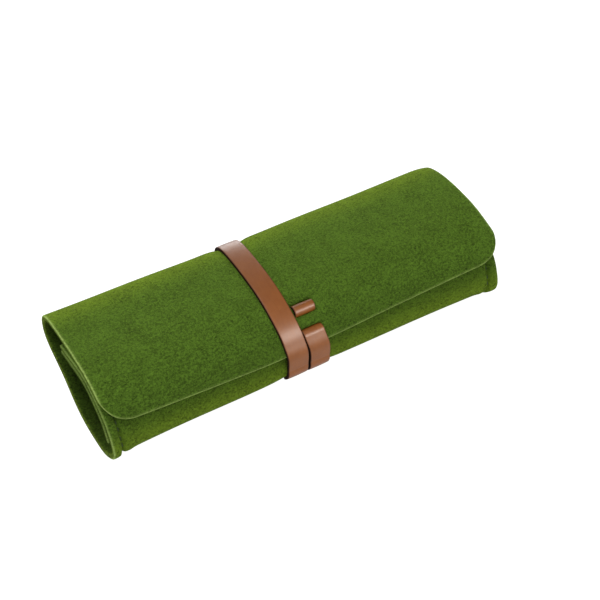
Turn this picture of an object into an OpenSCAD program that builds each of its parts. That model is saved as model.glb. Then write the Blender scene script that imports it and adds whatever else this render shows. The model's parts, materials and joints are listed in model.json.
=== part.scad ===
// Felt brush roll case, closed and strapped. Units mm, +Z up, +X along the roll, -Y at the front.
// The origin lies on the table, under the middle of the roll's length.
// The felt is cut into panels at its folds; each panel's round nose turns in the cup of the one before.

/* [Felt] */
// Length of the closed roll
roll_length = 230; // [180:1:260]
// Thickness of the outer felt and of the lining
felt_t = 3; // [2.6:0.1:3.2]
// Corner radius of the flap's front edge
flap_corner_r = 12; // [4:1:12]
// Distance of the seam from each end
seam_inset = 5.5; // [4:0.5:9]

/* [Strap] */
// Width of the leather strap
strap_w = 12; // [10:1:12]
// Thickness of the leather strap
strap_t = 2; // [1.6:0.1:2.2]
// Middle of the strap run that comes over the top
strap_left_x = -13; // [-18:1:-13]
// Middle of the strap run that is threaded through the flap
strap_right_x = -0.5; // [-0.5:0.5:6]

/* [Hidden] */
$fn = 32;
fold_gap = 0.5;
felt_rub_gap = 0.2;
strap_end_gap = 0.3;
bend_setback = 1.7;
fold_r = felt_t / 2;
strap_offset = felt_t / 2 + felt_rub_gap + strap_t / 2;
lining_offset = felt_t + 0.3;
lining_setback = 3.2;
base_z = strap_t + felt_rub_gap + felt_t / 2;
cut_over = 1;
corner_facets = 64;
thread_r = 0.4;
thread_inset = 2.6;
groove_w = 1.4;
groove_d = 0.9;
groove_overrun = 4;
slit_clearance = 0.1;

// Fold lines of the closed section as [y, z] points on the middle of the felt, out from the base both ways
front_bottom = [-22, base_z];
back_bottom = [3, base_z];
back_mid = [34.5, 31.5];
back_top = [30, 48.6];
flap_bend = [-14, 49.3];
lip_bend = [-31.5, 40.5];
lip_edge = [-36.8, 28.5];
wall_bottom = [-35.2, 15];
wall_top = [-32.2, 30];
cover_bend = [-13, 43];
cover_edge = [16, 40.5];

// The strap's front runs hang from the lip edge to just above the front corner
strap_crease = [-39.5, 29];
strap_front_end = [-38.8, 13.5];

// Middle of the strap where it turns from the base to the back, and at the back's middle fold
strap_back_bottom_x = -3;
strap_back_mid_x = -9;

// Gaps at the ends of the strap piece under the front corner
corner_gap_low = 1.6;
corner_gap_high = 1;

// Places along the shoulder and the lip where the strap passes through the flap
woven_start = 3.5;
shoulder_slits = [9.6, 13.6];
lip_slit = 3.4;
slit_len = strap_w + 1;
slit_w = strap_t + 2 * slit_clearance;

function run(p, q) = norm(q - p);
function heading(p, q) = atan2(q[1] - p[1], q[0] - p[0]);

// Local frame of a panel: Y runs from fold p to fold q, Z is square to the panel
module on_panel(p, q) {
    translate([0, p[0], p[1]])
        rotate([heading(p, q), 0, 0])
            children();
}

// A cylinder along X, centred on the roll
module rod(r, length) {
    rotate([0, 90, 0])
        cylinder(h = length, r = r, center = true);
}

// A felt panel with a round nose on fold p; cup_end hollows the other end round fold q
module felt_panel(p, q, nose = true, cup_end = true, cup_start = false) {
    length = run(p, q);
    on_panel(p, q)
        difference() {
            union() {
                translate([-roll_length / 2, 0, -felt_t / 2])
                    cube([roll_length, length, felt_t]);
                if (nose)
                    rod(fold_r, roll_length);
            }
            if (cup_end)
                translate([0, length, 0])
                    rod(fold_r + fold_gap, roll_length + 2 * cut_over);
            if (cup_start)
                rod(fold_r + fold_gap, roll_length + 2 * cut_over);
        }
}

// The two seam grooves in the outer face of a front panel
module seam_grooves(p, q) {
    on_panel(p, q)
        for (side = [-1, 1])
            translate([side * (roll_length / 2 - seam_inset) - groove_w / 2, -groove_overrun,
                       felt_t / 2 - groove_d])
                cube([groove_w, run(p, q) + 2 * groove_overrun, groove_d + cut_over]);
}

// The seam threads lying in those grooves
module seam_threads(p, q) {
    on_panel(p, q)
        for (side = [-1, 1])
            translate([side * (roll_length / 2 - seam_inset), thread_inset, felt_t / 2 - groove_d / 2])
                rotate([-90, 0, 0])
                    cylinder(h = run(p, q) - 2 * thread_inset, r = thread_r);
}

// A lining panel lying against the inner face of a front panel
module lining_panel(p, q, end_setback) {
    on_panel(p, q)
        translate([-roll_length / 2, lining_setback, -lining_offset - felt_t / 2])
            cube([roll_length, run(p, q) - lining_setback - end_setback, felt_t]);
}

// A flat strap piece between two stations along a panel, sliding sideways from x0 to x1
module strap_piece(s0, s1, x0, x1) {
    half = strap_w / 2;
    linear_extrude(height = strap_t, center = true)
        polygon([[x0 - half, s0], [x0 + half, s0], [x1 + half, s1], [x1 - half, s1]]);
}

// A strap piece on the outer face of a back or flap panel
module strap_on_back(p, q, x0, x1) {
    on_panel(p, q)
        translate([0, 0, -strap_offset])
            strap_piece(strap_end_gap, run(p, q) - strap_end_gap, x0, x1);
}

// A slit for the right strap run, starting at a place along a flap panel
module strap_slit(start) {
    translate([strap_right_x - slit_len / 2, start, -felt_t])
        cube([slit_len, slit_w, 2 * felt_t]);
}

module felt_base() {
    color("olivedrab")
        felt_panel(front_bottom, back_bottom, nose = false, cup_start = true);
}

module felt_back_low() {
    color("olivedrab")
        felt_panel(back_bottom, back_mid);
}

module felt_back() {
    color("olivedrab")
        felt_panel(back_mid, back_top);
}

module felt_flap() {
    color("olivedrab")
        felt_panel(back_top, flap_bend);
}

module felt_shoulder() {
    color("olivedrab")
        difference() {
            felt_panel(flap_bend, lip_bend);
            on_panel(flap_bend, lip_bend)
                for (s = shoulder_slits)
                    strap_slit(s);
        }
}

// The drooping front edge of the flap, with both corners rounded
module felt_lip() {
    length = run(lip_bend, lip_edge);
    half = roll_length / 2;
    color("olivedrab")
        difference() {
            felt_panel(lip_bend, lip_edge, cup_end = false);
            on_panel(lip_bend, lip_edge)
                strap_slit(lip_slit);
            on_panel(lip_bend, lip_edge)
                for (side = [-1, 1])
                    translate([side * (half - flap_corner_r), length - flap_corner_r, 0])
                        difference() {
                            translate([side > 0 ? 0 : -2 * flap_corner_r, 0, -felt_t])
                                cube([2 * flap_corner_r, 2 * flap_corner_r, 2 * felt_t]);
                            cylinder(h = 3 * felt_t, r = flap_corner_r, center = true, $fn = corner_facets);
                        }
        }
}

module felt_front_corner() {
    color("olivedrab")
        felt_panel(front_bottom, wall_bottom);
}

module felt_wall() {
    color("olivedrab")
        difference() {
            felt_panel(wall_bottom, wall_top);
            seam_grooves(wall_bottom, wall_top);
        }
}

module felt_wall_top() {
    color("olivedrab")
        difference() {
            felt_panel(wall_top, cover_bend);
            seam_grooves(wall_top, cover_bend);
        }
}

module felt_cover() {
    color("olivedrab")
        difference() {
            felt_panel(cover_bend, cover_edge, cup_end = false);
            seam_grooves(cover_bend, cover_edge);
        }
}

module lining_wall() {
    color("darkolivegreen")
        lining_panel(wall_bottom, wall_top, lining_setback);
}

module lining_wall_top() {
    color("darkolivegreen")
        lining_panel(wall_top, cover_bend, lining_setback);
}

module lining_cover() {
    color("darkolivegreen")
        lining_panel(cover_bend, cover_edge, 0);
}

module thread_wall() {
    color("darkgreen")
        seam_threads(wall_bottom, wall_top);
}

module thread_wall_top() {
    color("darkgreen")
        seam_threads(wall_top, cover_bend);
}

module thread_cover() {
    color("darkgreen")
        seam_threads(cover_bend, cover_edge);
}

module strap_under() {
    color("saddlebrown")
        strap_on_back(front_bottom, back_bottom, strap_right_x, strap_back_bottom_x);
}

// The strap's end below the front corner, where the belt is opened
module strap_corner() {
    color("saddlebrown")
        on_panel(front_bottom, wall_bottom)
            translate([0, 0, strap_offset])
                strap_piece(corner_gap_low, run(front_bottom, wall_bottom) - corner_gap_high,
                            strap_right_x, strap_right_x);
}

module strap_back_low() {
    color("saddlebrown")
        strap_on_back(back_bottom, back_mid, strap_back_bottom_x, strap_back_mid_x);
}

module strap_back() {
    color("saddlebrown")
        strap_on_back(back_mid, back_top, strap_back_mid_x, strap_left_x);
}

module strap_top() {
    color("saddlebrown")
        strap_on_back(back_top, flap_bend, strap_left_x, strap_left_x);
}

module strap_shoulder() {
    color("saddlebrown")
        strap_on_back(flap_bend, lip_bend, strap_left_x, strap_left_x);
}

module strap_lip() {
    color("saddlebrown")
        strap_on_back(lip_bend, lip_edge, strap_left_x, strap_left_x);
}

// A front run hanging from the crease at the lip edge
module strap_front_run(x) {
    on_panel(strap_crease, strap_front_end)
        strap_piece(strap_end_gap, run(strap_crease, strap_front_end), x, x);
}

module strap_front() {
    color("saddlebrown")
        strap_front_run(strap_left_x);
}

module strap_front_right() {
    color("saddlebrown")
        strap_front_run(strap_right_x);
}

// A flat of the threaded strap between two places along a panel; side is -1 outside the felt and 1 inside
module woven_flat(s0, s1, side) {
    translate([strap_right_x - strap_w / 2, s0, side * strap_offset - strap_t / 2])
        cube([strap_w, s1 - s0, strap_t]);
}

// The strap's passage through a slit
module woven_riser(s) {
    translate([strap_right_x - strap_w / 2, s, -strap_offset])
        cube([strap_w, strap_t, 2 * strap_offset]);
}

// The strap's end under the flap, out through the first slit and in again through the second
module strap_woven() {
    first = shoulder_slits[0] + slit_clearance;
    second = shoulder_slits[1] + slit_clearance;
    color("saddlebrown")
        on_panel(flap_bend, lip_bend)
            union() {
                woven_riser(first);
                woven_riser(second);
                woven_flat(woven_start, first + strap_t, 1);
                woven_flat(first, second + strap_t, -1);
                woven_flat(second, run(flap_bend, lip_bend) - bend_setback, 1);
            }
}

// The strap coming out through the third slit and lying down the lip
module strap_lip_right() {
    third = lip_slit + slit_clearance;
    color("saddlebrown")
        on_panel(lip_bend, lip_edge)
            union() {
                woven_riser(third);
                woven_flat(bend_setback, third + strap_t, 1);
                woven_flat(third, run(lip_bend, lip_edge) - strap_end_gap, -1);
            }
}

felt_base();
felt_back_low();
felt_back();
felt_flap();
felt_shoulder();
felt_lip();
felt_front_corner();
felt_wall();
felt_wall_top();
felt_cover();
lining_wall();
lining_wall_top();
lining_cover();
thread_wall();
thread_wall_top();
thread_cover();
strap_under();
strap_corner();
strap_back_low();
strap_back();
strap_top();
strap_shoulder();
strap_lip();
strap_front();
strap_woven();
strap_lip_right();
strap_front_right();
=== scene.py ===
"""Brush roll case: a green wool felt roll, shut, with a leather strap round it, threaded through its flap.

Lengths are in millimetres in the functions below and become metres when a mesh is made. The roll's section
is drawn in (y, z). u runs along the outer felt from the cover's free edge, round the front, the base, the
back and the flap, to the flap's free edge. Every sheet is made as one piece per fold, from the middle of one
panel to the middle of the next, so that each piece spans one joint.
"""

import json
import math

import bpy
import numpy as np
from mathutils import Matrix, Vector

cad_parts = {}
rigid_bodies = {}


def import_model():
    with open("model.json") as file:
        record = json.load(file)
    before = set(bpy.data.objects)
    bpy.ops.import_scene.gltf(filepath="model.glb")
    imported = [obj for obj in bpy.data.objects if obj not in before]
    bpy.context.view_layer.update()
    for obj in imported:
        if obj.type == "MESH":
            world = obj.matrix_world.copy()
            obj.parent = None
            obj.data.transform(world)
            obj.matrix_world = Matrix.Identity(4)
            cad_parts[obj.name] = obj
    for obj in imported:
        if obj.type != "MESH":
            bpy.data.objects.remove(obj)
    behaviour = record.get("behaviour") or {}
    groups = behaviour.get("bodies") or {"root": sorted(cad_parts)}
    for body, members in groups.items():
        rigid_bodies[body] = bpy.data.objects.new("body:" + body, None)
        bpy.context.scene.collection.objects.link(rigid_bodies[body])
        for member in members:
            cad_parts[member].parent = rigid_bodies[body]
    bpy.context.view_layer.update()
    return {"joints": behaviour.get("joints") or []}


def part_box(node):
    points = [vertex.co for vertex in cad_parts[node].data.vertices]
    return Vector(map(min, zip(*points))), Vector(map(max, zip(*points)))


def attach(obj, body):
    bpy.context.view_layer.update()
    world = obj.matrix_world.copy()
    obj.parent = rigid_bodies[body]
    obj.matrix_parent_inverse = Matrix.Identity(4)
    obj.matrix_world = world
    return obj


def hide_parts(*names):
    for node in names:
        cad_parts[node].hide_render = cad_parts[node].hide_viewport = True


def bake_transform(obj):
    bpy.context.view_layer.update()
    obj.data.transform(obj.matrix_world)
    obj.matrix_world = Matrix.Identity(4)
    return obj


MM = 0.001

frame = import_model()


def size_mm(node):
    """The size of a CAD node along x, y and z, in mm."""
    low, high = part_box(node)
    return np.array(high) / MM - np.array(low) / MM


ROLL_LENGTH = size_mm("felt_base")[0]
FELT_T = size_mm("felt_base")[2]
STRAP_W = size_mm("strap_front")[0]
STRAP_T = size_mm("strap_under")[2]

HALF_LENGTH = ROLL_LENGTH / 2

CUT_EDGE_R = 0.7
SEAM_INSET = 5.5
SEAM_X = HALF_LENGTH - SEAM_INSET
FLAP_CORNER_R = 15.0
LINING_GAP = 0.15

# (y, z) of the free edges of the outer felt's middle surface
COVER_EDGE = (16.0, 40.5)
LIP_EDGE = (-36.8, 28.5)

STRAP_EDGE_R = 0.55
STRAP_LIFT = FELT_T / 2 + 0.1 + STRAP_T / 2

# Mesh spacings
FELT_COLUMN = 1.6
FELT_ROW = 1.1
STRAP_STEP = 0.6

# The felt's panels and the folds between them, in the order of u; each panel is a body and its felt is a node
PANELS = ["cover", "wall_top", "wall", "front_corner", "base", "back_low", "back", "flap", "shoulder", "lip"]
FOLDS = ["cover_fold", "wall_top_fold", "wall_fold", "front_fold", "back_low_fold", "back_fold", "flap_fold",
         "shoulder_bend", "lip_bend"]

# Fold k lies between panels k - 1 and k
(COVER_FOLD, WALL_TOP_FOLD, WALL_FOLD, FRONT_FOLD, BACK_LOW_FOLD, BACK_FOLD, FLAP_FOLD, SHOULDER_BEND,
 LIP_BEND) = range(1, 10)


# ---------------------------------------------------------------- section curves


def fold_point(name):
    """The (y, z) of a fold hinge, in mm."""
    joint = next(j for j in frame["joints"] if j["name"] == name)
    return np.array(joint["pos_m"][1:]) / MM


def conic(p0, vertex, p2, sharpness, steps=80):
    """A rounded corner from p0 to p2, tangent to both legs; more sharpness keeps it nearer the vertex."""
    t = np.linspace(0, 1, steps)[:, None]
    a, b, c = (1 - t) ** 2, 2 * sharpness * t * (1 - t), t**2
    return (a * p0 + b * vertex + c * p2) / (a + b + c)


class Curve:
    """A curve in the section with its length u and its outward normal, looked up by u."""

    def __init__(self, points):
        self.p = np.array(points, float)
        step = np.linalg.norm(np.diff(self.p, axis=0), axis=1)
        self.u = np.concatenate([[0], np.cumsum(step)])
        tangent = np.gradient(self.p, self.u, axis=0)
        tangent /= np.linalg.norm(tangent, axis=1)[:, None]
        self.n = np.stack([tangent[:, 1], -tangent[:, 0]], axis=1)

    def at(self, u):
        """(point, normal) at each u, carried on straight past both ends."""
        u = np.asarray(u, float)
        inside = np.clip(u, 0, self.u[-1])
        p = np.stack([np.interp(inside, self.u, self.p[:, k]) for k in (0, 1)], axis=-1)
        n = np.stack([np.interp(inside, self.u, self.n[:, k]) for k in (0, 1)], axis=-1)
        n /= np.linalg.norm(n, axis=-1)[..., None]
        along = np.stack([-n[..., 1], n[..., 0]], axis=-1)
        return p + along * (u - inside)[..., None], n

    def off(self, u, height):
        """The points at each u, moved out along the normal by height."""
        p, n = self.at(u)
        return p + n * np.asarray(height, float)[..., None]

    def nearest(self, point):
        return self.u[np.argmin(np.linalg.norm(self.p - np.array(point), axis=1))]


def round_corners(vertices, sharpness):
    """The points of a line through the vertices with its corners rounded, and the middles of its legs."""
    v = [np.array(p, float) for p in vertices]
    middles = [(a + b) / 2 for a, b in zip(v, v[1:])]
    points = [v[0]]
    for before, corner, after, sharp in zip(middles, v[1:], middles[1:], sharpness):
        points.extend(conic(before, corner, after, sharp)[len(points) > 1:])
    points.append(v[-1])
    return points, middles


# How sharp each fold of the felt is, and how much further out than its hinge two of them stand
FELT_SHARPNESS = [1.6, 1.6, 2.0, 1.8, 1.6, 2.2, 1.5, 1.2, 1.2]
FULLER = {"wall_fold": (-1.7, -1.2), "flap_fold": (0.9, 1.0)}


def felt_vertex(fold):
    return fold_point(fold) + FULLER.get(fold, (0, 0))


FELT_POLYGON = [COVER_EDGE] + [felt_vertex(f) for f in FOLDS] + [LIP_EDGE]
FELT_LINE, LEG_MIDDLES = round_corners(FELT_POLYGON, FELT_SHARPNESS)
FELT = Curve(FELT_LINE)

# u at each fold, the sheet's two ends counted too, and at the middle of each panel
FOLD_U = [FELT.nearest(p) for p in FELT_POLYGON]
PANEL_U = [FELT.nearest(p) for p in LEG_MIDDLES]


def panel_u(panel):
    return PANEL_U[PANELS.index(panel)]


def eased_table(places, values, reach):
    """A function of u through the values at these places, with its corners eased over reach."""
    shifts = np.linspace(-reach, reach, 7)

    def value(u):
        near = [np.interp(np.asarray(u, float) + shift, places, values) for shift in shifts]
        return np.mean(near, axis=0)
    return value


def on_felt(values):
    """A smooth function of u with one value for each panel's middle, from the cover to the lip."""
    return eased_table(PANEL_U, values, reach=6)


def step_up(distance, width):
    """0 well before, 1 well after."""
    return 1 / (1 + np.exp(-np.clip(distance / width, -40, 40)))


def flat_top(distance, half_width):
    """1 within half_width, falling to 0 beside it."""
    return 1 / (1 + (np.abs(distance) / half_width) ** 6)


# ---------------------------------------------------------------- the strap's place


# Where the strap passes through the flap, u at the middle of each slit
SLITS = [FOLD_U[SHOULDER_BEND] + 10.7, FOLD_U[SHOULDER_BEND] + 14.7, FOLD_U[LIP_BEND] + 4.4]
WOVEN_X = -1.1
SLIT_HALF = STRAP_W / 2 + 0.5

# The x of the strap's middle from the base, up the back and over the flap, to two places down the front
RUN_PLACES = PANEL_U[PANELS.index("base"):] + [panel_u("lip") + 12, panel_u("lip") + 26]
LEFT_RUN_X = eased_table(RUN_PLACES, [0.3, -5.0, -12.4, -13.3, -14.4, -13.4, -11.5, -11.2], reach=8)

# The same for the threaded run, which starts at the lip
RIGHT_FRONT_X = 1.7
RIGHT_RUN_X = eased_table(RUN_PLACES[-3:], [WOVEN_X, 1.5, RIGHT_FRONT_X], reach=5)

# The belt is opened low on the front: u at the end of the front runs, and the gap to the rest of the strap
BELT_CUT_U = FOLD_U[WALL_FOLD] + 4.5
BELT_CUT_GAP = 0.3


# ---------------------------------------------------------------- how the felt is pushed about


# One value per panel: how deep, where and how widely the strap draws the felt in, and how far the felt stands
# out at either end of the roll
PINCH_DEPTH = on_felt([0, 0, 0.3, 1.4, 2.1, 0.1, 1.2, 1.4, 0.6, 0.4])
PINCH_X = on_felt([-5, -5, -5, -5, 0.3, -5, -11.6, -12.8, -8, -6])
PINCH_HALF = on_felt([14, 14, 14, 14, 9, 9, 8.5, 8.5, 15, 15])
LEFT_RISE = on_felt([-0.5, 0, 0.8, 1.0, 0, -1.0, 1.4, -1.0, -0.6, 0.2])
RIGHT_RISE = on_felt([0.3, 0.4, 0.7, 0.9, 0, 0, 0.8, 1.0, 0.9, 3.2])

# How far the sheet reaches past its square end at the left and at the right
LEFT_REACH = on_felt([0, 0, 0, 0, 0, 0.4, 1.2, 0.6, 0.3, 0.4])
RIGHT_REACH = on_felt([0, 0, 0, 0, 0, 0.3, 0.6, 0.3, 0.6, 2.3])

LINING_SAG = on_felt([0.5, 1.6, 2.4, 0.8, 0, 0, 0, 0, 0, 0])
WAVE_SIZE = on_felt([0.1, 0.15, 0.2, 0.1, 0, 0.2, 0.2, 0.25, 0.175, 0.15])

# Where the ends begin to stand out, and the width beside the strap that stays free of waves
LEFT_RISE_START = 20
RIGHT_RISE_START = 5
CALM_HALF = 20

# The top of the back droops at the right end of the roll: how deep, over how much of x and of u
DROOP_DEPTH = 1.3
DROOP_LENGTH = 11
DROOP_SPREAD = 12

# The seam's groove, the margin past it, which flares out more low down, and the puffed felt before it
GROOVE_DEPTH = 1.7
GROOVE_SPREAD = 0.85
MARGIN_START = 0.9
MARGIN_STEP = 0.4
MARGIN_RISE = 0.9
FLARE_RISE = 0.9
FLARE_STEP = 5
PUFF_RISE = 0.5
PUFF_FROM_SEAM = 3.5
PUFF_SPREAD = 2.6
FRONT_HALF = 36

SLIT_DENT_DEPTH = 1.5
SLIT_DENT_SPREAD = 0.55

# (fold, how far to either side of it painted light makes the felt's colour paler and yellower)
LIT_FOLDS = [(WALL_FOLD, 8.0), (FLAP_FOLD, 10.0)]


def hump(distance, spread):
    """1 at no distance, falling smoothly to 0 over about twice the spread."""
    return np.exp(-((distance / spread) ** 2))


def felt_push(u, x):
    """How far the outer felt stands out of the plain section."""
    from_strap = x - PINCH_X(u)
    pinch = PINCH_DEPTH(u) * (1 - flat_top(from_strap, PINCH_HALF(u)))
    to_left = np.clip((-x - LEFT_RISE_START) / (HALF_LENGTH - LEFT_RISE_START), 0, 1)
    to_right = np.clip((x - RIGHT_RISE_START) / (HALF_LENGTH - RIGHT_RISE_START), 0, 1)
    rise = LEFT_RISE(u) * to_left**2 + RIGHT_RISE(u) * to_right**2.5
    near_right = np.clip(1 - (HALF_LENGTH - x) / DROOP_LENGTH, 0, 1)
    droop = DROOP_DEPTH * hump(u - FOLD_U[FLAP_FOLD], DROOP_SPREAD) * near_right**2
    wave = np.sin(x / 21 + u / 34 + 0.6) + 0.7 * np.sin(x / 12.5 - u / 19 + 2.1)
    return pinch + rise - droop + WAVE_SIZE(u) * wave * (1 - flat_top(from_strap, CALM_HALF))


def seam_push(u, x):
    """The seam's groove near each end of the front wall, and the margin that flares out past it."""
    past = np.abs(x) - SEAM_X
    on_front = flat_top(u - FOLD_U[WALL_TOP_FOLD], FRONT_HALF)
    groove = GROOVE_DEPTH * hump(past, GROOVE_SPREAD)
    flare = MARGIN_RISE + FLARE_RISE * step_up(u - FOLD_U[WALL_FOLD], FLARE_STEP)
    margin = flare * step_up(past - MARGIN_START, MARGIN_STEP)
    puff = PUFF_RISE * hump(past + PUFF_FROM_SEAM, PUFF_SPREAD)
    return on_front * (margin + puff - groove)


def outer_push(u, x):
    return felt_push(u, x) + seam_push(u, x)


def painted_fold_light(u):
    """How much painted light pales the outer face: most along the top of the back and low on the front."""
    return sum(hump(u - FOLD_U[fold], reach) for fold, reach in LIT_FOLDS)


def slit_dent(u, x):
    """The outer face dips into each slit, on the side that the strap doesn't cover."""
    within_slit = flat_top(x - WOVEN_X, SLIT_HALF)
    open_sides = (SLITS[0] - STRAP_T / 2, SLITS[1] + STRAP_T / 2, SLITS[2] - STRAP_T / 2)
    return -SLIT_DENT_DEPTH * within_slit * sum(hump(u - side, SLIT_DENT_SPREAD) for side in open_sides)


# The flap is longest a little left of the strap, where it reaches past the section by this much
FLAP_LONGEST_X = -20
FLAP_EXTRA = 1.0

# How it's cut back towards the right and the left: how deep, at how far from its longest place, how curved
RIGHT_CUT = (5.0, 124, 1.2)
LEFT_CUT = (3.4, 80, 1.4)


def cut_back(distance, depth, reach, power):
    return depth * np.clip(distance / reach, 0, None) ** power


def flap_cut(x):
    """How much shorter the flap is at x than the section."""
    past = x - FLAP_LONGEST_X
    return cut_back(past, *RIGHT_CUT) + cut_back(-past, *LEFT_CUT) - FLAP_EXTRA


def flap_edge(x):
    """u of the flap's free edge at x, with its two rounded corners."""
    into_corner = np.clip(np.abs(x) - (HALF_LENGTH - FLAP_CORNER_R), 0, FLAP_CORNER_R)
    corner = FLAP_CORNER_R - np.sqrt(FLAP_CORNER_R**2 - into_corner**2)
    return FELT.u[-1] - flap_cut(x) - corner


# ---------------------------------------------------------------- meshes


def new_object(name, vertices, faces, place, material, values=None):
    """A smooth mesh object from points in mm, with places on the sheet and other values for its texture."""
    mesh = bpy.data.meshes.new(name)
    mesh.from_pydata((np.asarray(vertices) * MM).tolist(), [], faces)
    layer = mesh.attributes.new("sheet_place", "FLOAT_VECTOR", "POINT")
    layer.data.foreach_set("vector", np.asarray(place, np.float32).ravel())
    for key, value in (values or {}).items():
        layer = mesh.attributes.new(key, "FLOAT", "POINT")
        layer.data.foreach_set("value", np.asarray(value, np.float32))
    mesh.shade_smooth()
    mesh.set_sharp_from_angle(angle=math.radians(50))
    mesh.materials.append(material)
    obj = bpy.data.objects.new(name, mesh)
    bpy.context.scene.collection.objects.link(obj)
    return obj


def sheet_object(name, outer, inner, place, cut_edge, material, inside=1.0, fold_light=0.0):
    """A closed sheet between two grids of points, each (columns, rows, 3).

    Three values are kept at each point: how near a cut edge it is, how much painted shade it has inside the
    roll (0 on the outer face), and how much painted light it has along two folds.
    """
    columns, rows = outer.shape[:2]
    count = columns * rows
    index = np.arange(count).reshape(columns, rows)
    a, b, c, d = index[:-1, :-1], index[1:, :-1], index[1:, 1:], index[:-1, 1:]
    top = np.stack([a, d, c, b], axis=-1).reshape(-1, 4)
    bottom = np.stack([a, b, c, d], axis=-1).reshape(-1, 4) + count
    ring = np.concatenate([index[:, 0], index[-1, 1:], index[-2::-1, -1], index[0, -2:0:-1]])
    after = np.roll(ring, -1)
    side = np.stack([ring, after, after + count, ring + count], axis=-1)
    vertices = np.concatenate([outer.reshape(-1, 3), inner.reshape(-1, 3)])
    places = np.concatenate([place.reshape(-1, 3), place.reshape(-1, 3) + [0, 0, FELT_T]])
    faces = np.concatenate([top, bottom, side]).tolist()
    inside = np.broadcast_to(inside, cut_edge.shape).ravel()
    fold_light = np.broadcast_to(fold_light, cut_edge.shape).ravel()
    values = {"cut_edge": np.tile(cut_edge.ravel(), 2), "inside": np.concatenate([0 * inside, inside]),
              "fold_light": np.tile(fold_light, 2)}
    return new_object(name, vertices, faces, places, material, values)


def to_xyz(x, yz):
    return np.concatenate([x[..., None], yz], axis=-1)


def edge_steps(length, step, radius, both=True):
    """Stations from 0 to length, crowded near a rounded cut edge at the end, and at the start too if both."""
    near = np.array([0, 0.12, 0.35, 0.7, 1.2]) * radius
    start = near if both else np.array([0.0])
    middle_length = length - start[-1] - near[-1]
    middle = np.linspace(start[-1], length - near[-1], max(2, round(middle_length / step)) + 1)
    return np.concatenate([start[:-1], middle, length - near[-2::-1]])


def with_extra(steps, centres, spread):
    """The stations with a close group added round each centre, and near duplicates removed."""
    groups = [c + np.array(spread) for c in centres if steps[0] < c < steps[-1]]
    kept = [s for s in steps if all(abs(s - c) > max(spread) + 0.2 for c in centres)]
    return np.array(sorted(set([steps[0], steps[-1]] + kept + [float(v) for g in groups for v in g])))


def rounded_half(distance, half, radius):
    """Half the thickness of a sheet at a distance from its cut edge."""
    r = np.clip(radius - distance, 0, radius)
    return half - radius + np.sqrt(radius**2 - r**2)


def felt_columns():
    """Positions across the roll, crowded at the flap's corners, the seams, the slits' ends and the edges."""
    corner = HALF_LENGTH - FLAP_CORNER_R * (1 - np.sin(np.linspace(0, math.pi / 2, 14)))[:-1]
    cut = HALF_LENGTH - edge_steps(2, 1, CUT_EDGE_R, both=True)[:5]
    seam = SEAM_X + np.array([-2.2, -1.5, -1, -0.6, -0.3, 0, 0.3, 0.6, 1, 1.5])
    side = np.unique(np.round(np.concatenate([corner[corner < cut.min() - 0.2], cut, seam]), 3))
    middle = np.linspace(-side[0], side[0], round(2 * side[0] / FELT_COLUMN) + 1)
    middle = with_extra(middle, [WOVEN_X - SLIT_HALF, WOVEN_X + SLIT_HALF], [-0.9, -0.3, 0.3, 0.9])
    return np.concatenate([-side[::-1], middle[1:-1], side])


COLUMNS = felt_columns()

# How far in the cut edge's painted highlight goes, in edge radii, and how much of it the hidden layers show
RIM_HIGHLIGHT_REACH = 1.35
HIDDEN_RIM_HIGHLIGHT = 0.5

# Painted shade of the inner face at the very end of the roll, and over what length the shade grows by 1
END_SHADE = 0.6
SHADE_LENGTH = 12


def felt_piece(name, u, to_free_end, material, push, centre=0.0, relief=None):
    """A felt sheet over the grid u (columns, rows), its middle at centre from the outer felt's, plus a push.

    to_free_end is the distance of each grid point from the sheet's free end, or None where it has none.
    relief is a further push of the outer face alone.
    """
    x = np.repeat(COLUMNS[:, None], u.shape[1], axis=1)
    to_end = HALF_LENGTH - np.abs(x)
    to_edge = to_end if to_free_end is None else np.minimum(to_end, to_free_end)
    half = rounded_half(to_edge, FELT_T / 2, CUT_EDGE_R)
    middle = centre + push(u, x)
    skin = middle + half
    if relief is not None:
        skin = skin + relief(u, x)
    place = np.stack([x, u, np.full_like(x, centre * 4)], axis=-1)
    # Painted highlight along the cut edges, weaker on the hidden layers
    shown = np.interp(u, [FOLD_U[WALL_TOP_FOLD], FOLD_U[WALL_FOLD]], [HIDDEN_RIM_HIGHLIGHT, 1])
    cut_edge = np.clip(RIM_HIGHLIGHT_REACH - to_edge / CUT_EDGE_R, 0, 1) * shown
    # Painted shade on the inner face, stronger further in from the ends
    inside = np.clip(END_SHADE + to_end / SHADE_LENGTH, 0, 1)
    right_share = np.clip(x / HALF_LENGTH, 0, 1)
    left_share = np.clip(-x / HALF_LENGTH, 0, 1)
    reached = x + RIGHT_REACH(u) * right_share**3 - LEFT_REACH(u) * left_share**3
    outer = to_xyz(reached, FELT.off(u, skin))
    inner = to_xyz(reached, FELT.off(u, middle - half))
    # The last value is painted light along two folds
    return sheet_object(name, outer, inner, place, cut_edge, material, inside, painted_fold_light(u))


def section_point(p):
    """A (y, z) in mm as a point of the row frame in metres."""
    return 0, p[0] * MM, p[1] * MM


# The share of the half panels on either side of each fold that would bend
BENDING_SHARE = [0.85, 0.85, 0.9, 0.6, 0.55, 0.5, 0.5, 0.6, 0.7]


def bend_across(obj, fold):
    """Bakes a piece's transform. A span about the fold, short of both panel middles, is found but not bent.
    """
    share = BENDING_SHARE[fold - 1]
    ends = [FOLD_U[fold] + (middle - FOLD_U[fold]) * share for middle in PANEL_U[fold - 1:fold + 1]]
    start, end = (section_point(FELT.at(np.array(u))[0]) for u in ends)
    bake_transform(obj)


# ---------------------------------------------------------------- materials


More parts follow.
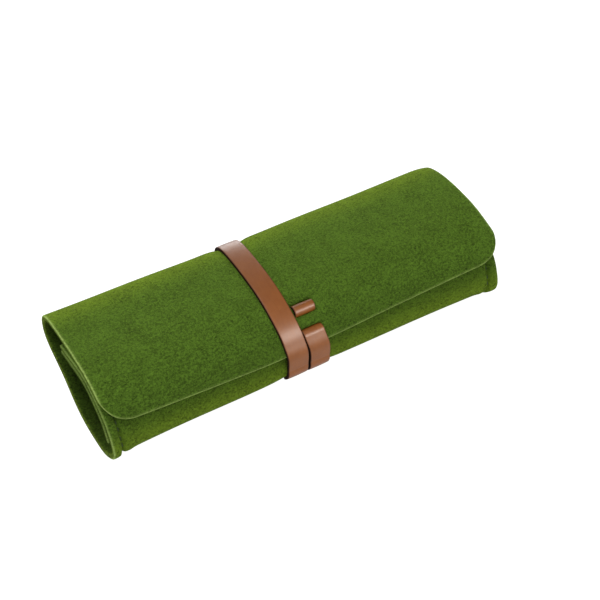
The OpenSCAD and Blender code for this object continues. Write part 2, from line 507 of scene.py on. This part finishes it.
class Finish:
    """A node material textured by the sheet's own place in mm, with a short call for each kind of node."""

    def __init__(self, name):
        self.material = bpy.data.materials.new(name)
        self.material.use_nodes = True
        self.nodes = self.material.node_tree.nodes
        self.links = self.material.node_tree.links
        self.shader = self.nodes["Principled BSDF"]

    def feed(self, socket, value):
        """Links a socket to another node's output, or sets it to a number or a colour."""
        if isinstance(value, bpy.types.NodeSocket):
            self.links.new(value, socket)
        elif socket.type == "RGBA":
            socket.default_value = (*value, 1)
        else:
            socket.default_value = value

    def set(self, name, value):
        self.feed(self.shader.inputs[name], value)

    def attribute(self, name, output="Fac"):
        node = self.nodes.new("ShaderNodeAttribute")
        node.attribute_name = name
        return node.outputs[output]

    def place(self, stretch=(1, 1, 1), turn=0.0):
        node = self.nodes.new("ShaderNodeMapping")
        node.inputs["Scale"].default_value = stretch
        node.inputs["Rotation"].default_value = (0, 0, turn)
        self.links.new(self.attribute("sheet_place", "Vector"), node.inputs["Vector"])
        return node.outputs["Vector"]

    def noise(self, per_mm, detail=3.0, roughness=0.6, stretch=(1, 1, 1), turn=0.0, distortion=0.0):
        """Noise with so many features per mm."""
        node = self.nodes.new("ShaderNodeTexNoise")
        node.inputs["Scale"].default_value = per_mm
        node.inputs["Detail"].default_value = detail
        node.inputs["Roughness"].default_value = roughness
        node.inputs["Distortion"].default_value = distortion
        self.links.new(self.place(stretch, turn), node.inputs["Vector"])
        return node.outputs["Fac"]

    def maths(self, operation, a, b=0.0):
        node = self.nodes.new("ShaderNodeMath")
        node.operation = operation
        self.feed(node.inputs[0], a)
        self.feed(node.inputs[1], b)
        return node.outputs[0]

    def total(self, *terms):
        """The sum of weight times value."""
        result = 0.0
        for weight, value in terms:
            result = self.maths("ADD", result, self.maths("MULTIPLY", value, weight))
        return result

    def ramp(self, value, *stops):
        node = self.nodes.new("ShaderNodeValToRGB")
        elements = node.color_ramp.elements
        while len(elements) < len(stops):
            elements.new(0.5)
        for element, (place, colour) in zip(elements, stops):
            element.position = place
            element.color = (*colour, 1)
        self.links.new(value, node.inputs["Fac"])
        return node.outputs["Color"]

    def mix(self, factor, a, b):
        node = self.nodes.new("ShaderNodeMix")
        node.data_type = "RGBA"
        self.feed(node.inputs[0], factor)
        self.feed(node.inputs[6], a)
        self.feed(node.inputs[7], b)
        return node.outputs[2]

    def bump(self, height, strength, depth):
        """Bump of a depth in mm."""
        node = self.nodes.new("ShaderNodeBump")
        node.inputs["Strength"].default_value = strength
        node.inputs["Distance"].default_value = depth * MM
        self.links.new(height, node.inputs["Height"])
        self.links.new(node.outputs["Normal"], self.shader.inputs["Normal"])


def scaled(colour, *factors):
    """A colour times one factor, or times a factor for each of red, green and blue."""
    per_channel = factors * 3 if len(factors) == 1 else factors
    return tuple(channel * factor for channel, factor in zip(colour, per_channel))


def curling_fibres(felt):
    """1 along thin wandering lines that run three ways, 0 between them."""
    lines = []
    for turn in (0.35, 1.4, 2.5):
        wander = felt.noise(0.42, detail=2, roughness=0.5, stretch=(1, 3.2, 1), turn=turn, distortion=0.8)
        off_line = felt.maths("ABSOLUTE", felt.maths("SUBTRACT", wander, 0.5))
        faded = felt.maths("MINIMUM", felt.maths("MULTIPLY", off_line, 9), 1.0)
        lines.append(felt.maths("SUBTRACT", 1.0, faded))
    return felt.maths("MAXIMUM", felt.maths("MAXIMUM", lines[0], lines[1]), lines[2])


def felt_colour(felt, shade, colour):
    """The felt's colour: painted light on two folds, painted shade inside, a painted highlight on cut edges.
    """
    body = felt.ramp(shade, (0.37, scaled(colour, 0.50)), (0.5, scaled(colour, 0.96)),
                     (0.62, scaled(colour, 1.85)))
    # Paler, yellower colour along two folds: painted light
    lit_fold_colour = felt.ramp(shade, (0.37, scaled(colour, 0.8, 0.7, 0.4)), (0.62, scaled(colour, 3.1, 2.6, 1.8)))
    outer = felt.mix(felt.attribute("fold_light"), body, lit_fold_colour)
    inside = felt.attribute("inside")
    # The inner face is painted darker: painted shade inside the roll
    inner = felt.ramp(shade, (0.41, scaled(colour, 0.10)), (0.6, scaled(colour, 0.65)))
    # Pale cut edges: a painted highlight on the outer rim, weaker at the inner rim
    outer_rim_highlight = felt.ramp(shade, (0.38, scaled(colour, 3.6, 2.8, 6.0)),
                          (0.58, scaled(colour, 7.2, 5.2, 13.0)))
    inner_rim_highlight = felt.ramp(shade, (0.4, scaled(colour, 0.3)), (0.6, scaled(colour, 2.8, 2.2, 2.4)))
    past_rim = felt.maths("MINIMUM", felt.maths("MULTIPLY", inside, 12.0), 1.0)
    cut = felt.mix(past_rim, outer_rim_highlight, inner_rim_highlight)
    return felt.mix(felt.attribute("cut_edge"), felt.mix(inside, outer, inner), cut)


def felt_finish(name, colour):
    """Matted wool: clouded and speckled colour, and short curling fibres that cross each other."""
    felt = Finish(name)
    cloud = felt.noise(0.09, detail=3)
    speck = felt.noise(0.95, detail=3, roughness=0.7, distortion=0.6)
    strand = curling_fibres(felt)
    shade = felt.total((0.16, cloud), (0.62, speck), (0.22, strand))
    felt.set("Base Color", felt_colour(felt, shade, colour))
    felt.set("Roughness", 0.95)
    felt.set("Specular IOR Level", 0.05)
    felt.set("Sheen Weight", 0.12)
    felt.set("Sheen Roughness", 0.4)
    felt.set("Sheen Tint", (0.62, 0.85, 0.12))
    felt.bump(felt.total((0.8, speck), (0.45, strand)), strength=0.9, depth=0.8)
    return felt.material


def leather_finish(name):
    """Smooth tan leather: faint clouding, fine grain, a satin surface and dark burnished edges."""
    leather = Finish(name)
    cloud = leather.noise(0.12, detail=4)
    streak = leather.noise(0.5, detail=3, stretch=(1.6, 0.35, 1))
    tone = leather.total((0.6, cloud), (0.4, streak))
    body = leather.ramp(tone, (0.3, (0.102, 0.028, 0.0028)), (0.7, (0.140, 0.042, 0.0052)))
    edge = leather.attribute("cut_edge")
    burnished = leather.maths("MULTIPLY", edge, 0.94)
    leather.set("Base Color", leather.mix(burnished, body, (0.012, 0.006, 0.005)))
    leather.set("Roughness", leather.total((0.14, streak), (0.3, edge), (1.0, 0.32)))
    leather.set("Specular IOR Level", leather.total((-0.4, edge), (1.0, 0.44)))
    leather.set("Specular Tint", (1.0, 0.92, 0.85))
    grain = leather.nodes.new("ShaderNodeTexVoronoi")
    grain.inputs["Scale"].default_value = 2.6
    leather.links.new(leather.place(), grain.inputs["Vector"])
    fine = leather.noise(3.5, detail=3)
    leather.bump(leather.total((0.5, grain.outputs["Distance"]), (1.0, fine)), strength=0.16, depth=0.3)
    return leather.material


def thread_finish(name):
    """Twisted sewing thread: fine slanted bands of light and dark."""
    thread = Finish(name)
    twist = thread.noise(3.0, detail=2, stretch=(0.4, 3, 1), turn=0.6)
    bands = thread.ramp(twist, (0.35, (0.016, 0.034, 0.005)), (0.65, (0.045, 0.085, 0.014)))
    thread.set("Base Color", bands)
    thread.set("Roughness", 0.65)
    thread.bump(twist, strength=0.5, depth=0.2)
    return thread.material


OUTER_FELT = felt_finish("outer_felt", (0.0480, 0.0920, 0.0095))
LINING_FELT = felt_finish("lining_felt", (0.0360, 0.0700, 0.0070))
LEATHER = leather_finish("strap_leather")
THREAD = thread_finish("seam_thread")


# ---------------------------------------------------------------- the felt


SLIT_ROWS = [-1.6, -1.0, -0.6, -0.2, 0.2, 0.6, 1.0, 1.6]


def across_columns(rows):
    """The grid of u that has the same rows in every column."""
    return np.repeat(rows[None, :], len(COLUMNS), axis=0)


def cover_grid(end):
    """u from the cover's free edge to end, and the distance from that edge."""
    u = across_columns(end - edge_steps(end, FELT_ROW, CUT_EDGE_R, both=False)[::-1])
    return u, u


def flap_end_grid(start):
    """u from start to the flap's shaped edge, and the distance from that edge."""
    edge = flap_edge(COLUMNS)
    length = flap_edge(WOVEN_X) - start
    rows = edge_steps(length, FELT_ROW, CUT_EDGE_R, both=False)
    rows = with_extra(rows, [slit - start for slit in SLITS], SLIT_ROWS)
    u = start + rows[None, :] / length * (edge - start)[:, None]
    return u, edge[:, None] - u


def make_outer_felt():
    """One piece per fold of the outer felt sheet."""
    for fold in range(COVER_FOLD, LIP_BEND + 1):
        start, end = PANEL_U[fold - 1:fold + 1]
        relief = None
        if fold == COVER_FOLD:
            u, to_free_end = cover_grid(end)
        elif fold == LIP_BEND:
            u, to_free_end = flap_end_grid(start)
            relief = slit_dent
        else:
            rows = np.linspace(start, end, round((end - start) / FELT_ROW) + 1)
            if fold == SHOULDER_BEND:
                rows = with_extra(rows, SLITS, SLIT_ROWS)
                relief = slit_dent
            u, to_free_end = across_columns(rows), None
        piece = felt_piece(f"felt_fold_{fold}", u, to_free_end, OUTER_FELT, outer_push,
                           relief=relief)
        bend_across(piece, fold)
        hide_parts("felt_" + PANELS[fold - 1], "felt_" + PANELS[fold])


# The lining sags away from the outer felt left of here, follows this much of the seam's push, and ends this
# far above the wall's lower fold
SAG_START = 60
SEAM_FOLLOWED = 0.6
LINING_STOP = 3.0


def lining_push(u, x):
    """The lining follows the outer felt, and hangs away from it towards the left end."""
    to_left = np.clip((-x - SAG_START) / (HALF_LENGTH - SAG_START), 0, 1)
    followed = SEAM_FOLLOWED * np.clip(seam_push(u, x), 0, PUFF_RISE)
    return felt_push(u, x) + followed - LINING_SAG(u) * to_left**2


def make_lining_piece(fold, u, to_free_end, *nodes):
    piece = felt_piece(f"lining_fold_{fold}", u, to_free_end, LINING_FELT, lining_push,
                       centre=-(FELT_T + LINING_GAP))
    bend_across(piece, fold)
    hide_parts(*nodes)


def make_lining():
    """The lining against the inside of the cover and of both parts of the wall, one piece per fold."""
    middle = panel_u("wall_top")
    u, to_free_end = cover_grid(middle)
    make_lining_piece(COVER_FOLD, u, to_free_end, "lining_cover", "lining_wall_top")
    end = FOLD_U[WALL_FOLD] - LINING_STOP
    u = across_columns(middle + edge_steps(end - middle, FELT_ROW, CUT_EDGE_R, both=False))
    make_lining_piece(WALL_TOP_FOLD, u, end - u, "lining_wall")


STITCH_LENGTH = 2.6
STITCH_PITCH = 3.6
STITCH_RISE = 0.25
STITCH_INSET = 0.6
THREAD_R = 0.32

# How far past the wall's lower fold the seams go on
SEAM_TAIL = 2.0


def stitch(start, side):
    """One stitch lying in a seam groove, from u = start: its vertices, faces and texture places."""
    around, along = 8, 9
    share = np.linspace(-1, 1, along)
    u = start + STITCH_LENGTH * (share + 1) / 2
    x = np.full(along, side * SEAM_X)
    thick = THREAD_R * np.sqrt(np.clip(1 - share**4, 0.02, 1))
    height = FELT_T / 2 + outer_push(u, x) + STITCH_RISE * (1 - share**4)
    point, normal = FELT.at(u)
    angle = np.linspace(0, 2 * math.pi, around, endpoint=False)
    out = height[:, None] + thick[:, None] * np.sin(angle)
    yz = point[:, None] + normal[:, None] * out[..., None]
    vertices = to_xyz(x[:, None] + thick[:, None] * np.cos(angle), yz).reshape(-1, 3)
    place = np.stack([x[:, None] + 0 * out, u[:, None] + 0 * out, angle + 0 * out], axis=-1).reshape(-1, 3)
    ring = np.arange(around)
    faces = [[k * around + a, k * around + b, (k + 1) * around + b, (k + 1) * around + a]
             for k in range(along - 1) for a, b in zip(ring, np.roll(ring, -1))]
    caps = [ring[::-1], ring + (along - 1) * around]
    return vertices, [[int(i) for i in face] for face in faces + caps], place


def make_stitches():
    """Short stitches sunk in both seam grooves, one piece per fold that the seam crosses."""
    ends = [0.0, panel_u("wall_top"), panel_u("wall"), FOLD_U[WALL_FOLD] + SEAM_TAIL]
    nodes = {COVER_FOLD: "thread_cover", WALL_TOP_FOLD: "thread_wall_top", WALL_FOLD: "thread_wall"}
    for fold, node in nodes.items():
        vertices, faces, places = [], [], []
        for side in (-1, 1):
            for start in np.arange(ends[fold - 1] + STITCH_INSET, ends[fold] - STITCH_LENGTH, STITCH_PITCH):
                stitch_vertices, stitch_faces, stitch_places = stitch(start, side)
                faces.extend([[i + len(vertices) for i in face] for face in stitch_faces])
                vertices.extend(stitch_vertices)
                places.extend(stitch_places)
        piece = new_object(f"stitches_fold_{fold}", vertices, faces, places, THREAD)
        bend_across(piece, fold)
        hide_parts(node)


# ---------------------------------------------------------------- the strap


STRAP_CROWN = 0.12

# How far in the burnished edge goes, in edge radii
BURNISHED_REACH = 1.15

# The front runs leave the felt this far before the flap's edge, turn near the crease, and meet the front this
# far above the wall's lower fold
LIP_LEAVE = 4.0
FRONT_MEET = 3.0
LIP_TURN_SHARPNESS = 2.6
LIP_TURN_SHIFT = (-0.3, -0.6)

# The front runs would bend about the crease from this far past the handover to this far past the crease
CREASE_LEAD = 1
CREASE_TAIL = 5

# The threaded run: where it starts under the flap, where its next piece takes over, how far past the third
# slit it joins the line over the lip, and how sharp its turns are
THREADED_START = FOLD_U[SHOULDER_BEND] + 3.5
THREADED_HANDOVER = FOLD_U[LIP_BEND] - 1.0
LANDING_RUN = 4.0
UNDER_TURN = 1.6
SLIT_TURN = 0.8


def strap_piece(name, curve, start, end, middle_x):
    """A strap piece along its own middle line, from start to end; middle_x gives its x along that line."""
    half_w = STRAP_W / 2
    u = np.linspace(start, end, max(4, round((end - start) / STRAP_STEP)) + 1)
    across = edge_steps(STRAP_W, 1.2, STRAP_EDGE_R) - half_w
    to_side = half_w - np.abs(across)
    half_t = rounded_half(to_side, STRAP_T / 2, STRAP_EDGE_R)
    crown = STRAP_CROWN * (1 - (across / half_w) ** 2)
    point, normal = curve.at(u)
    x = middle_x(u)[None, :] + across[:, None]
    outer = to_xyz(x, point[None] + normal[None] * (crown + half_t)[:, None, None])
    inner = to_xyz(x, point[None] + normal[None] * (crown - half_t)[:, None, None])
    place = np.stack(np.broadcast_arrays(across[:, None], u[None, :], 0.0), axis=-1)
    burnished = np.clip(BURNISHED_REACH - to_side / STRAP_EDGE_R, 0, 1)
    cut_edge = np.repeat(burnished[:, None], len(u), axis=1)
    return sheet_object(name, outer, inner, place, cut_edge, LEATHER)


def belt_line(start, end):
    """Points on the strap's middle line where it lies on the felt."""
    u = np.linspace(start, end, max(2, round(abs(end - start) / 0.25)))
    return FELT.off(u, np.full_like(u, STRAP_LIFT))


def over_the_lip(first_u):
    """The strap's middle line from first_u over the flap's edge and down to where the belt is opened."""
    lead = belt_line(first_u, FELT.u[-1] - LIP_LEAVE)
    tail = belt_line(FOLD_U[WALL_FOLD] - FRONT_MEET, BELT_CUT_U)
    crease = fold_point("strap_crease") + LIP_TURN_SHIFT
    turn = conic(lead[-1], crease, tail[0], LIP_TURN_SHARPNESS)
    return np.concatenate([lead, turn[1:], tail[1:]])


def make_long_strap():
    """The strap under the base, up the back, over the top and down to the shoulder, one piece per fold."""
    spans = [("strap_fold_low", BACK_LOW_FOLD, ["strap_under", "strap_back_low"]),
             ("strap_fold_back", BACK_FOLD, ["strap_back"]),
             ("strap_fold_top", FLAP_FOLD, ["strap_top"]),
             ("strap_fold_shoulder", SHOULDER_BEND, ["strap_shoulder"])]
    for name, fold, nodes in spans:
        start, end = PANEL_U[fold - 1:fold + 1]
        curve = Curve(belt_line(start, end))
        scale = (end - start) / curve.u[-1]
        piece = strap_piece(name, curve, 0, curve.u[-1], lambda s: LEFT_RUN_X(start + s * scale))
        bend_across(piece, fold)
        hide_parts(*nodes)


def make_front_run(side, curve, handover, middle_x, nodes):
    """A run from the shoulder over the lip and down the front, in two pieces that meet at the handover.

    Both are baked where they lie; neither bends with the lip nor turns about the crease at the lip's edge.
    """
    lip_node, front_node = nodes
    lip = strap_piece("strap_lip_" + side, curve, 0, handover, middle_x)
    bend_across(lip, LIP_BEND)
    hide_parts(lip_node)
    front = strap_piece("strap_front_" + side, curve, handover, curve.u[-1], middle_x)
    crease = curve.nearest(fold_point("strap_crease"))
    bend = (handover + CREASE_LEAD, crease + CREASE_TAIL)
    start, end = (section_point(curve.at(np.array(u))[0]) for u in bend)
    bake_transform(front)
    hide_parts(front_node)


def make_left_run():
    """The run that comes over the top, from the shoulder over the lip and down the front."""
    start = panel_u("shoulder")
    curve = Curve(over_the_lip(start))
    handover = curve.nearest(belt_line(panel_u("lip"), panel_u("lip"))[0])
    make_front_run("left", curve, handover, lambda s: LEFT_RUN_X(start + s), ("strap_lip", "strap_front"))


def threaded_path(corners, sharpness):
    """Points (u, height off the felt's middle) along a way through the slits, with its corners rounded."""
    return np.array(round_corners(corners, sharpness)[0])


def make_woven_run():
    """The threaded end, over the bridge between two slits, then out of the third slit and down the front."""
    under = -STRAP_LIFT
    over = STRAP_LIFT + 0.1
    rear, front, lip = SLITS
    path = threaded_path([(THREADED_START, under), (rear, under), (rear, over), (front, over), (front, under),
                          (THREADED_HANDOVER, under)], [UNDER_TURN, SLIT_TURN, SLIT_TURN, UNDER_TURN])
    curve = Curve(FELT.off(path[:, 0], path[:, 1]))
    piece = strap_piece("strap_bridge", curve, 0, curve.u[-1], lambda s: WOVEN_X + 0 * s)
    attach(piece, "shoulder")
    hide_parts("strap_woven")

    landing = lip + LANDING_RUN
    path = threaded_path([(THREADED_HANDOVER, under), (lip, under), (lip, STRAP_LIFT), (landing, STRAP_LIFT)],
                         [UNDER_TURN, SLIT_TURN])
    path = path[path[:, 0] < landing - 0.5]
    onward = over_the_lip(landing)
    curve = Curve(np.concatenate([FELT.off(path[:, 0], path[:, 1]), onward]))
    landed = curve.u[-1] - Curve(onward).u[-1]
    make_front_run("right", curve, landed + 1.0, lambda s: RIGHT_RUN_X(landing + s - landed),
                   ("strap_lip_right", "strap_front_right"))


def make_strap_corner():
    """The strap round the front bottom corner, from where the belt is opened to the base."""
    bottom = panel_u("base")
    curve = Curve(belt_line(BELT_CUT_U + BELT_CUT_GAP, bottom))
    ends_x = [RIGHT_FRONT_X, LEFT_RUN_X(bottom)]
    piece = strap_piece("strap_fold_corner", curve, 0, curve.u[-1],
                        lambda s: np.interp(s, [0, curve.u[-1]], ends_x))
    bend_across(piece, FRONT_FOLD)
    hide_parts("strap_corner")


# ---------------------------------------------------------------- stage


def make_floor():
    """A white floor, brighter to the camera than to the roll, so that the shadow on it stays faint."""
    half = 6.0
    corners = [(-half, -half, 0), (half, -half, 0), (half, half, 0), (-half, half, 0)]
    mesh = bpy.data.meshes.new("floor")
    mesh.from_pydata(corners, [], [(0, 1, 2, 3)])
    white = Finish("floor_white")
    white.set("Base Color", (0.25, 0.25, 0.25))
    white.set("Roughness", 0.9)
    white.set("Emission Color", (1, 1, 1))
    to_camera = white.nodes.new("ShaderNodeLightPath").outputs["Is Camera Ray"]
    white.set("Emission Strength", white.total((0.45, to_camera), (1.0, 0.52)))
    mesh.materials.append(white.material)
    floor = bpy.data.objects.new("floor", mesh)
    bpy.context.scene.collection.objects.link(floor)


def aimed(obj, place, target):
    """Puts a light or camera at place, looking at target, and into the scene."""
    obj.location = place
    obj.rotation_euler = (Vector(target) - Vector(place)).to_track_quat("-Z", "Y").to_euler()
    bpy.context.scene.collection.objects.link(obj)


def shine_only_on(light, objects):
    """Keeps a light off everything but these objects."""
    group = bpy.data.collections.new(light.name + "_receivers")
    for obj in objects:
        group.objects.link(obj)
    light.light_linking.receiver_collection = group


# (name, place in m, size in m, power in W)
LIGHTS = [
    ("top", (-0.35, 0.1, 1.0), 0.8, 9.6),
    ("fill", (0.1, -0.9, 0.75), 1.2, 6.0),
    ("back", (0.4, 0.95, 0.22), 0.5, 5.5),
    ("gleam", (0.38, -0.92, 0.36), 0.5, 13.5),
]


def make_lights():
    """Soft lights in a white room. The gleam falls on the strap alone and puts the highlight on its bend."""
    for name, place, size, power in LIGHTS:
        light = bpy.data.lights.new(name, "AREA")
        light.energy = power
        light.size = size
        lamp = bpy.data.objects.new(name, light)
        aimed(lamp, place, (0, 0, 0.02))
        if name == "gleam":
            shine_only_on(lamp, [obj for obj in bpy.context.scene.objects if obj.name.startswith("strap_")])
    world = bpy.data.worlds.new("studio")
    world.use_nodes = True
    background = world.node_tree.nodes["Background"]
    background.inputs["Color"].default_value = (1, 1, 1, 1)
    background.inputs["Strength"].default_value = 0.33
    bpy.context.scene.world = world
    bpy.context.scene.view_settings.view_transform = "Standard"


def make_camera():
    """The camera looks at the roll from its left front, from above."""
    azimuth, elevation, distance = math.radians(-31.33), math.radians(43.84), 0.6993
    target = Vector((0.01656, 0.00552, 0.015))
    back = Vector((math.sin(azimuth) * math.cos(elevation), -math.cos(azimuth) * math.cos(elevation),
                   math.sin(elevation)))
    camera = bpy.data.cameras.new("camera")
    camera.lens = 78.04
    camera.sensor_width = 36
    obj = bpy.data.objects.new("camera", camera)
    aimed(obj, target + back * distance, target)
    bpy.context.scene.camera = obj


make_outer_felt()
make_lining()
make_stitches()
make_long_strap()
make_left_run()
make_woven_run()
make_strap_corner()
make_floor()
make_lights()
make_camera()
